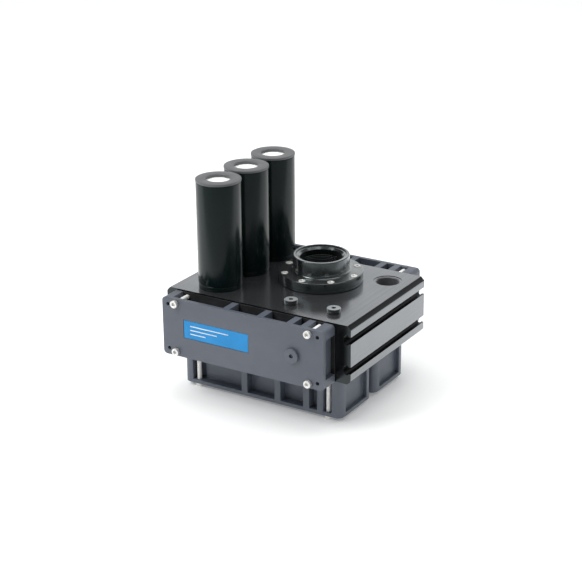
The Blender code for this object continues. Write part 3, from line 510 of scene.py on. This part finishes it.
def plug_piece(node, outward, material):
    """A plug with a rounded head, a groove, its washer and a hexagon socket."""
    top, radius = extent(node, outward)
    tip = -top
    reach = 8.5 * MM                    # length of the threaded shank
    seat = tip + reach + GAP
    washer_top = seat + 0.42 * (top - seat)
    rim = 0.7 * MM
    broken = 0.25 * MM                  # the washer's small chamfers
    shank = 6.3 * MM
    neck = radius - 1.3 * MM
    washer = radius - 0.3 * MM
    socket_floor = top - 2.9 * MM
    socket = hexagon(2.68 * MM)
    lip = hexagon(3.0 * MM)
    rings = [(0.8 * MM, socket_floor - 0.5 * MM), (socket, socket_floor)]
    rings += [(socket, top - 0.35 * MM), (lip, top)]
    rings += [(radius - rim, top)] + arc((radius - rim, top - rim), rim, 80, 0, 4)
    rings += [(radius, washer_top + 0.75 * MM), (radius - 0.2 * MM, washer_top + 0.55 * MM),
              (neck, washer_top + 0.5 * MM), (neck, washer_top + 0.05 * MM), (washer - broken, washer_top),
              (washer, washer_top - broken), (washer, seat + broken), (washer - broken, seat),
              (shank, seat)]
    pitch = 1.34 * MM
    depth = 0.35 * MM
    turns = int((reach - 1.2 * MM) / pitch)
    for turn in range(turns):
        z = seat - 0.8 * MM - turn * pitch
        rings += [(shank - depth, z), (shank, z - 0.45 * pitch), (shank, z - 0.55 * pitch)]
    rings += [(shank - depth, tip + 0.3 * MM), (shank - 0.8 * MM, tip)]
    mesh = turned_mesh(node + "_visual", rings, 72, axis_frame(node, outward), closed=False)
    return place_piece(node + "_visual", mesh, material, HOUSING, (node,), smooth_angle=32.0)


# Silencers ------------------------------------------------------------------------------------

def ring_profile(outer, inner, top, bottom, edge):
    """Closed profile of a ring with rounded outer edges and slightly broken inner edges."""
    points = arc((outer - edge, top - edge), edge, 90, 0)
    points += arc((outer - edge, bottom + edge), edge, 0, -90)
    broken = 0.3 * MM
    points += [(inner + broken, bottom), (inner, bottom + broken)]
    return points + [(inner, top - broken), (inner + broken, top)]


def silencer_ring(node, rings, material, stand):
    mesh = turned_mesh(node + "_visual", rings, 128, stand)
    place_piece(node + "_visual", mesh, material, HOUSING, (node,), smooth_angle=35.0)


def ring_size(node):
    """Outer radius, bottom and top of an upright ring."""
    low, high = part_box(node)
    return (high.x - low.x) / 2, low.z, high.z


def silencer_base_rings(node, foot):
    """A ring with a groove round its middle and a neck that goes down into the block."""
    radius, neck_bottom, top = ring_size(node)
    neck, bore = 24.0 * MM, 19.0 * MM
    upper_round, lower_round = 0.8 * MM, 0.5 * MM
    neck_chamfer = 0.4 * MM
    groove_middle = (foot + top) / 2
    groove_floor = radius - 0.6 * MM
    groove_half, mouth_half = 0.35 * MM, 0.7 * MM
    rings = arc((radius - upper_round, top - upper_round), upper_round, 90, 0)
    rings += [(radius, groove_middle + mouth_half), (groove_floor, groove_middle + groove_half),
              (groove_floor, groove_middle - groove_half), (radius, groove_middle - mouth_half)]
    rings += arc((radius - lower_round, foot + lower_round), lower_round, 0, -90)
    return rings + [(neck, foot), (neck, neck_bottom + neck_chamfer), (neck - neck_chamfer, neck_bottom),
                    (bore, neck_bottom), (bore, top)]


def silencer_cap_rings(node):
    """A flat ring cap with a rounded outlet."""
    radius, bottom, top = ring_size(node)
    outlet = 16.5 * MM
    rim, lower_round, outlet_round = 0.7 * MM, 0.3 * MM, 0.6 * MM
    rings = arc((radius - rim, top - rim), rim, 90, 0)
    rings += arc((radius - lower_round, bottom + lower_round), lower_round, 0, -90, 2)
    rings += [(outlet, bottom), (outlet, top - outlet_round)]
    return rings + arc((outlet + outlet_round, top - outlet_round), outlet_round, 180, 90, 3)


def silencer_pieces(number):
    base, tube, cap, core = (f"silencer_{part}_{number}" for part in ("base", "tube", "cap", "felt"))
    centre = axis_frame(tube, (0, 0, 1)).translation
    stand = Matrix.Translation((centre.x, centre.y, 0))
    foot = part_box("body_extrusion")[1].z + GAP
    silencer_ring(base, silencer_base_rings(base, foot), "silencer_black", stand)
    radius, bottom, top = ring_size(tube)
    wall = 2.0 * MM
    silencer_ring(tube, ring_profile(radius, radius - wall, top, bottom, 0.45 * MM), "silencer_black", stand)
    silencer_ring(cap, silencer_cap_rings(cap), "cap_grey", stand)
    felt_piece(core, stand, number)


def felt_piece(node, stand, number):
    """The felt core: a thick cup whose upper face is matted and a little domed."""
    radius, bottom, top = ring_size(node)
    duct = 15.0 * MM
    duct_top = top - 12.0 * MM
    swell = 0.9 * MM
    rings = [(0.6 * MM, duct_top), (duct, duct_top), (duct, bottom)]
    rings += [(radius, bottom), (radius, top - 1.2 * MM)]
    steps = 34
    for step in range(steps + 1):
        share = step / steps
        ring = (radius - 0.4 * MM) * (1 - share) + 0.5 * MM * share
        rings.append((ring, top - swell * (0.35 + 0.65 * (ring / radius) ** 2)))
    mesh = turned_mesh(node + "_visual", rings, 120, stand, closed=False)
    ripple_top(mesh, top - swell * 1.6, number)
    return place_piece(node + "_visual", mesh, "felt_white", HOUSING, (node,), smooth_angle=60.0)


def ripple_top(mesh, above, seed):
    """Push the felt's upper face in and out by up to a third of a millimetre."""
    offset = Vector((7.3 * seed, 3.1 * seed, 0.0))
    for vertex in mesh.vertices:
        if vertex.co.z > above:
            point = vertex.co * 420.0 + offset
            coarse = noise.noise(point * 0.35)
            fine = noise.noise(point)
            vertex.co.z += (0.22 * coarse + 0.13 * fine) * MM - 0.1 * MM
    mesh.update()


# Vacuum port ----------------------------------------------------------------------------------

def collar_rings(collar, lip, top, flange):
    """The collar above the flange: a stepped rim, a round edge, a groove and a fillet."""
    edge, fillet = 1.0 * MM, 3.2 * MM
    groove_floor = collar - 0.35 * MM
    rings = [(lip, top - 0.1 * MM), (lip + 0.3 * MM, top), (collar - edge, top)]
    rings += arc((collar - edge, top - edge), edge, 80, 0, 4)
    rings += [(collar, flange + 5.2 * MM), (groove_floor, flange + 4.9 * MM),
              (groove_floor, flange + 4.5 * MM), (collar, flange + 4.2 * MM)]
    return rings + arc((collar + fillet, flange + fillet), fillet, 180, 270, 6)


def flange_rings(radius, flange, foot):
    """The flange's rounded edge and the groove round its side."""
    edge = 0.9 * MM
    groove_floor = radius - 0.45 * MM
    rings = [(radius - edge - 0.2 * MM, flange)]
    rings += arc((radius - edge, flange - edge), edge, 80, 0, 4)
    rings += [(radius, foot + 4.7 * MM), (groove_floor, foot + 4.4 * MM),
              (groove_floor, foot + 3.9 * MM), (radius, foot + 3.6 * MM)]
    return rings + [(radius, foot + 0.6 * MM), (radius - 0.6 * MM, foot)]


def bore_rings(bore, lip, foot, top):
    """The bore's thread, cut as shallow rings, and the counterbore above it."""
    pitch = 2.309 * MM
    depth = 0.45 * MM
    rings = []
    z = foot + 3.0 * MM
    while z + pitch < top - 9.0 * MM:
        rings += [(bore, z), (bore + depth, z + 0.42 * pitch), (bore + depth, z + 0.55 * pitch)]
        z += pitch
    ledge = top - 1.4 * MM
    return rings + [(bore, z), (bore, top - 4.2 * MM), (bore + 2.9 * MM, ledge), (lip, ledge)]


def port_pieces():
    node = "vacuum_port_flange"
    up = (0, 0, 1)
    radius, foot, top = ring_size(node)
    centre = axis_frame(node, up).translation
    stand = Matrix.Translation((centre.x, centre.y, 0))
    flange = foot - GAP + 14.4 * MM
    collar, lip, bore = 38.2 * MM, 34.5 * MM, 28.5 * MM
    groove_outer, groove_inner, groove_top = 35.0 * MM, 31.5 * MM, foot + 2.0 * MM
    rings = collar_rings(collar, lip, top, flange) + flange_rings(radius, flange, foot)
    rings += [(groove_outer, foot), (groove_outer, groove_top), (groove_inner, groove_top),
              (groove_inner, foot), (bore, foot)]
    rings += bore_rings(bore, lip, foot, top)
    mesh = turned_mesh(node + "_visual", rings, 144, stand)
    piece = place_piece(node + "_visual", mesh, "turned_black", HOUSING, (node,), smooth_angle=32.0)
    sink_screws(piece, flange, foot)

    node = "vacuum_port_seal"
    radius, bottom, top = ring_size(node)
    section = 2.7 * MM
    rings = ring_profile(radius, radius - section, top, bottom, 0.4 * MM)
    mesh = turned_mesh(node + "_visual", rings, 128, stand)
    place_piece(node + "_visual", mesh, "seal_black", HOUSING, (node,), smooth_angle=35.0)


def sink_screws(piece, flange_top, foot):
    """Counterbores and shank holes for the port screws, cut into the flange."""
    form = bmesh.new()
    up = (0, 0, 1)
    hole = 3.4 * MM
    bottom = flange_top - 4.0 * MM
    beyond = 2.0 * MM                   # how far a cutter stands out of the flange
    for number in range(1, PORT_SCREWS + 1):
        centre = axis_frame(f"port_screw_{number}", up).translation
        head = extent(f"port_screw_{number}", up)[1]
        for radius, low, high in ((head + GAP, bottom, flange_top + beyond),
                                  (hole, foot - beyond, bottom + 0.5 * MM)):
            spot = Matrix.Translation((centre.x, centre.y, (low + high) / 2)) @ Matrix.Rotation(0.11, 4, "Z")
            bmesh.ops.create_cone(form, cap_ends=True, segments=48, radius1=radius, radius2=radius,
                                  depth=high - low, matrix=spot)
    mesh = bpy.data.meshes.new("port_screw_cutter")
    form.to_mesh(mesh)
    form.free()
    cutter = bpy.data.objects.new("port_screw_cutter", mesh)
    bpy.context.scene.collection.objects.link(cutter)
    change = piece.modifiers.new("counterbores", "BOOLEAN")
    change.object = cutter
    change.solver = "EXACT"
    change.use_self = True
    apply_modifiers(piece)
    bpy.data.objects.remove(cutter)
    piece.data.set_sharp_from_angle(angle=math.radians(32))


def apply_modifiers(piece):
    evaluated = piece.evaluated_get(bpy.context.evaluated_depsgraph_get())
    mesh = bpy.data.meshes.new_from_object(evaluated)
    piece.modifiers.clear()
    piece.data = mesh


# Name plate -----------------------------------------------------------------------------------

def rounded_slab(name, low, high, radius, material, nodes=()):
    """A thin upright slab with round corners, facing -Y."""
    form = bmesh.new()
    left, right = low[0] + radius, high[0] - radius
    bottom, top = low[2] + radius, high[2] - radius
    outline = []
    steps = 5
    for corner, (x, z) in enumerate(((right, top), (left, top), (left, bottom), (right, bottom))):
        for step in range(steps + 1):
            angle = math.radians(90) * (corner + step / steps)
            outline.append((x + radius * math.cos(angle), z + radius * math.sin(angle)))
    front = [form.verts.new((x, low[1], z)) for x, z in outline]
    back = [form.verts.new((x, high[1], z)) for x, z in outline]
    form.faces.new(front)
    form.faces.new(list(reversed(back)))
    count = len(outline)
    for index in range(count):
        after = (index + 1) % count
        form.faces.new((front[index], back[index], back[after], front[after]))
    bmesh.ops.recalc_face_normals(form, faces=form.faces)
    mesh = bpy.data.meshes.new(name)
    form.to_mesh(mesh)
    form.free()
    return place_piece(name, mesh, material, HOUSING, nodes, smooth_angle=180.0)


def name_plate_pieces():
    """A blue plate with a plain generic pattern of three bars."""
    low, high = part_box("name_plate")
    piece = rounded_slab("name_plate_visual", low, high, 0.8 * MM, "plate_blue", ("name_plate",))
    soften(piece, 0.25 * MM)
    front, back = low.y - 0.08 * MM, low.y + 0.1 * MM
    width, height = high.x - low.x, high.z - low.z
    bar_height = 0.055 * height
    left = low.x + 0.10 * width
    for number, share in enumerate((0.60, 0.42, 0.24)):
        z = low.z + (0.72 - 0.22 * number) * height
        rounded_slab(f"name_plate_bar_{number + 1}", (left, front, z - bar_height / 2),
                     (left + share * width, back, z + bar_height / 2), 0.45 * bar_height, "plate_ink")


# All pieces -----------------------------------------------------------------------------------

def paint_slot_shade(piece):
    """Paint shade onto the T-slots' inside and the chamfers: a deeper black that stands in for the little
    light reaching metal that faces nothing bright.
    """
    low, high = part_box("body_extrusion")
    middle = (low.z + high.z) / 2
    slot_offset = 20.5 * MM             # above and below the middle of the side
    slot_depth, slot_half_width = 10.5 * MM, 7.5 * MM
    side_face = 0.05 * MM
    chamfer = 5.0 * MM
    piece.data.materials.append(MATERIALS["slot_painted_shade"])
    for face in piece.data.polygons:
        from_side = min(face.center.x - low.x, high.x - face.center.x)
        from_slot = abs(abs(face.center.z - middle) - slot_offset)
        in_slot = side_face < from_side < slot_depth and from_slot < slot_half_width
        on_chamfer = abs(face.normal.x) > 0.5 and abs(face.normal.z) > 0.5 and from_side < chamfer
        if in_slot or on_chamfer:
            face.material_index = 1


def lighten_inlet(piece):
    """Give the air inlet's bore, below its spot face, a lighter, rougher and less metallic grey."""
    openings = {opening["name"]: opening for opening in frame["record"]["physics"]["openings"]}
    low, high = (Vector(corner) for corner in openings["air_inlet_bore"]["box_m"])
    centre = (low + high) / 2
    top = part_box("body_extrusion")[1].z
    reach = 17.0 * MM
    spot_face, thread_end = 0.7 * MM, 21.0 * MM
    piece.data.materials.append(MATERIALS["inlet_grey"])
    for face in piece.data.polygons:
        below_top = top - face.center.z
        if (face.center - centre).xy.length < reach and spot_face < below_top < thread_end:
            face.material_index = 2


def body_pieces():
    block = softened_copy("body_extrusion", "anodised_black", HOUSING, 0.35 * MM, 2)
    paint_slot_shade(block)
    lighten_inlet(block)
    for side in ("front", "rear"):
        softened_copy(f"{side}_end_cover", "cover_grey", HOUSING, 0.9 * MM, 3)
        softened_copy(f"{side}_bottom_cover", "cover_slate", HOUSING, 0.9 * MM, 3)
        softened_copy(f"{side}_end_gasket", "seal_black", HOUSING, 0.2 * MM, 2)
        softened_copy(f"{side}_bottom_gasket", "seal_black", HOUSING, 0.2 * MM, 2)
    for node in ("stage_1_nozzle_plate", "stage_2_nozzle_plate", "stage_3_nozzle_plate", "diffuser_plate"):
        softened_copy(node, "nozzle_brass", HOUSING, 0.3 * MM, 2)
    for stage in ("stage_2", "stage_3"):
        for side in ("front", "rear"):
            node = f"{stage}_flap_{side}"
            softened_copy(node, "flap_rubber", node, 0.3 * MM, 2)


def fastener_pieces():
    front, rear, up, down = (0, -1, 0), (0, 1, 0), (0, 0, 1), (0, 0, -1)
    for number in range(1, 5):
        for cover, outward in (("front_end", front), ("rear_end", rear), ("front_bottom", down),
                               ("rear_bottom", down)):
            screw_piece(f"{cover}_screw_{number}", outward, 5.0 * MM, 2.5 * MM, knurled=True)
    for number in range(1, PORT_SCREWS + 1):
        screw_piece(f"port_screw_{number}", up, 4.6 * MM, 2.0 * MM, knurled=False)
    plug_piece("vacuum_gauge_plug", up, "plug_steel")
    plug_piece("supply_gauge_plug", up, "plug_steel")
    plug_piece("test_port_plug", front, "cover_grey")


# Studio ---------------------------------------------------------------------------------------

CAMERA_PLACE = (1.0473, -1.7223, 0.9229)
CAMERA_AZIMUTH = 31.3654
CAMERA_ELEVATION = 21.7432
CAMERA_ROLL = -0.4661
CAMERA_LENS = 100.04
CAMERA_SHIFT = (-0.00694, 0.01464)


def make_camera():
    data = bpy.data.cameras.new("camera")
    data.sensor_width = 36.0
    data.lens = CAMERA_LENS
    data.shift_x, data.shift_y = CAMERA_SHIFT
    data.clip_end = 100.0
    camera = bpy.data.objects.new("camera", data)
    azimuth, elevation, roll = (math.radians(v) for v in (CAMERA_AZIMUTH, CAMERA_ELEVATION, CAMERA_ROLL))
    back = Vector((math.sin(azimuth) * math.cos(elevation), -math.cos(azimuth) * math.cos(elevation),
                   math.sin(elevation)))
    right = Vector((math.cos(azimuth), math.sin(azimuth), 0.0))
    up = back.cross(right)
    turned_right = math.cos(roll) * right + math.sin(roll) * up
    turned_up = -math.sin(roll) * right + math.cos(roll) * up
    matrix = Matrix.Identity(4)
    for index, column in enumerate((turned_right, turned_up, back)):
        matrix.col[index].xyz = column
    matrix.translation = Vector(CAMERA_PLACE)
    camera.matrix_world = matrix
    bpy.context.scene.collection.objects.link(camera)
    bpy.context.scene.camera = camera


def make_floor():
    form = bmesh.new()
    bmesh.ops.create_circle(form, cap_ends=True, segments=96, radius=40.0)
    mesh = bpy.data.meshes.new("floor")
    form.to_mesh(mesh)
    form.free()
    floor = bpy.data.objects.new("floor", mesh)
    floor.location.z = -0.0003
    bpy.context.scene.collection.objects.link(floor)
    look = Shader("floor_white", Roughness=0.7)
    look.principled.inputs["Specular IOR Level"].default_value = 0.2
    white = look.mix(look.remap(look.noise(1.2, 2.0), 0.3, 0.7), (0.88, 0.89, 0.89), (0.90, 0.905, 0.905))
    look.principled.inputs["Emission Color"].default_value = (1.0, 1.0, 1.0, 1.0)
    # Reflections see a dark card that lies on the camera's side of the object.
    place = look.add("ShaderNodeNewGeometry")
    azimuth = math.radians(CAMERA_AZIMUTH)
    nearer = look.add("ShaderNodeVectorMath", operation="DOT_PRODUCT")
    nearer.inputs[1].default_value = (math.sin(azimuth), -math.cos(azimuth), 0.0)
    look.join(place.outputs["Position"], nearer.inputs[0])
    reflected = look.add("ShaderNodeLightPath").outputs["Is Glossy Ray"]
    card = look.remap(nearer.outputs["Value"], 0.16, 0.42)
    hidden = look.math("MULTIPLY", look.math("MULTIPLY", card, reflected), 0.62)
    look.color(look.mix(hidden, white, (0.0, 0.0, 0.0)))
    look.join(look.remap(hidden, 0.0, 1.0, 0.16, 0.0), look.principled.inputs["Emission Strength"])
    # From below the floor is clear, so that low viewpoints still see the object.
    clear = look.add("ShaderNodeBsdfTransparent")
    either = look.add("ShaderNodeMixShader")
    look.join(place.outputs["Backfacing"], either.inputs[0])
    look.join(look.principled.outputs[0], either.inputs[1])
    look.join(clear.outputs[0], either.inputs[2])
    look.join(either.outputs[0], look.nodes["Material Output"].inputs["Surface"])
    mesh.materials.append(look.material)


def make_world():
    """Light from all round: bright behind and above, dimmer on the camera's side."""
    world = bpy.data.worlds.new("studio")
    bpy.context.scene.world = world
    world.use_nodes = True
    nodes, links = world.node_tree.nodes, world.node_tree.links
    direction = nodes.new("ShaderNodeTexCoord").outputs["Generated"]

    def fade(value, start, end, last):
        """Fall smoothly from 1 to last while the value goes from start to end."""
        node = nodes.new("ShaderNodeMapRange")
        node.interpolation_type = "SMOOTHSTEP"
        for key, number in (("From Min", start), ("From Max", end), ("To Min", 1.0), ("To Max", last)):
            node.inputs[key].default_value = number
        links.new(value, node.inputs["Value"])
        return node.outputs["Result"]

    def choose(condition, otherwise, when_true):
        node = nodes.new("ShaderNodeMix")
        node.data_type = "FLOAT"
        links.new(condition, node.inputs[0])
        links.new(otherwise, node.inputs[2])
        if isinstance(when_true, float):
            node.inputs[3].default_value = when_true
        else:
            links.new(when_true, node.inputs[3])
        return node.outputs[0]

    azimuth = math.radians(CAMERA_AZIMUTH)
    towards = nodes.new("ShaderNodeVectorMath")
    towards.operation = "DOT_PRODUCT"
    towards.inputs[1].default_value = (math.sin(azimuth), -math.cos(azimuth), -0.55)
    links.new(direction, towards.inputs[0])
    all_round = fade(towards.outputs["Value"], -0.45, 0.55, 0.22)

    # Reflections see a white backdrop that ends not far above the horizon.
    height = nodes.new("ShaderNodeSeparateXYZ")
    links.new(direction, height.inputs[0])
    mirrored = nodes.new("ShaderNodeMath")
    mirrored.operation = "MULTIPLY"
    links.new(all_round, mirrored.inputs[0])
    links.new(fade(height.outputs["Z"], 0.36, 0.52, 0.22), mirrored.inputs[1])

    # The camera itself sees plain white.
    ray = nodes.new("ShaderNodeLightPath").outputs
    lighting = choose(ray["Is Glossy Ray"], all_round, mirrored.outputs["Value"])
    background = nodes["Background"]
    background.inputs["Color"].default_value = (0.985, 1.0, 1.0, 1.0)
    links.new(choose(ray["Is Camera Ray"], lighting, 1.0), background.inputs["Strength"])


def make_lamp(name, place, target, size, power, color=(1, 1, 1)):
    data = bpy.data.lights.new(name, "AREA")
    data.shape = "RECTANGLE"
    data.size, data.size_y = size
    data.energy = power
    data.color = color
    lamp = bpy.data.objects.new(name, data)
    lamp.location = place
    lamp.rotation_euler = (Vector(target) - Vector(place)).to_track_quat("-Z", "Y").to_euler()
    bpy.context.scene.collection.objects.link(lamp)


def make_studio():
    make_floor()
    make_world()
    middle = (CAD_LOW + CAD_HIGH) / 2
    make_lamp("key_light", (-1.1, -1.5, 2.0), middle, (1.2, 1.2), 34.0)
    make_lamp("top_light", (0.2, 0.5, 2.4), middle, (1.8, 1.8), 22.0)
    view = bpy.context.scene.view_settings
    view.view_transform = "Standard"
    view.look = "None"


body_pieces()
fastener_pieces()
for silencer in (1, 2, 3):
    silencer_pieces(silencer)
port_pieces()
name_plate_pieces()
make_studio()
make_camera()
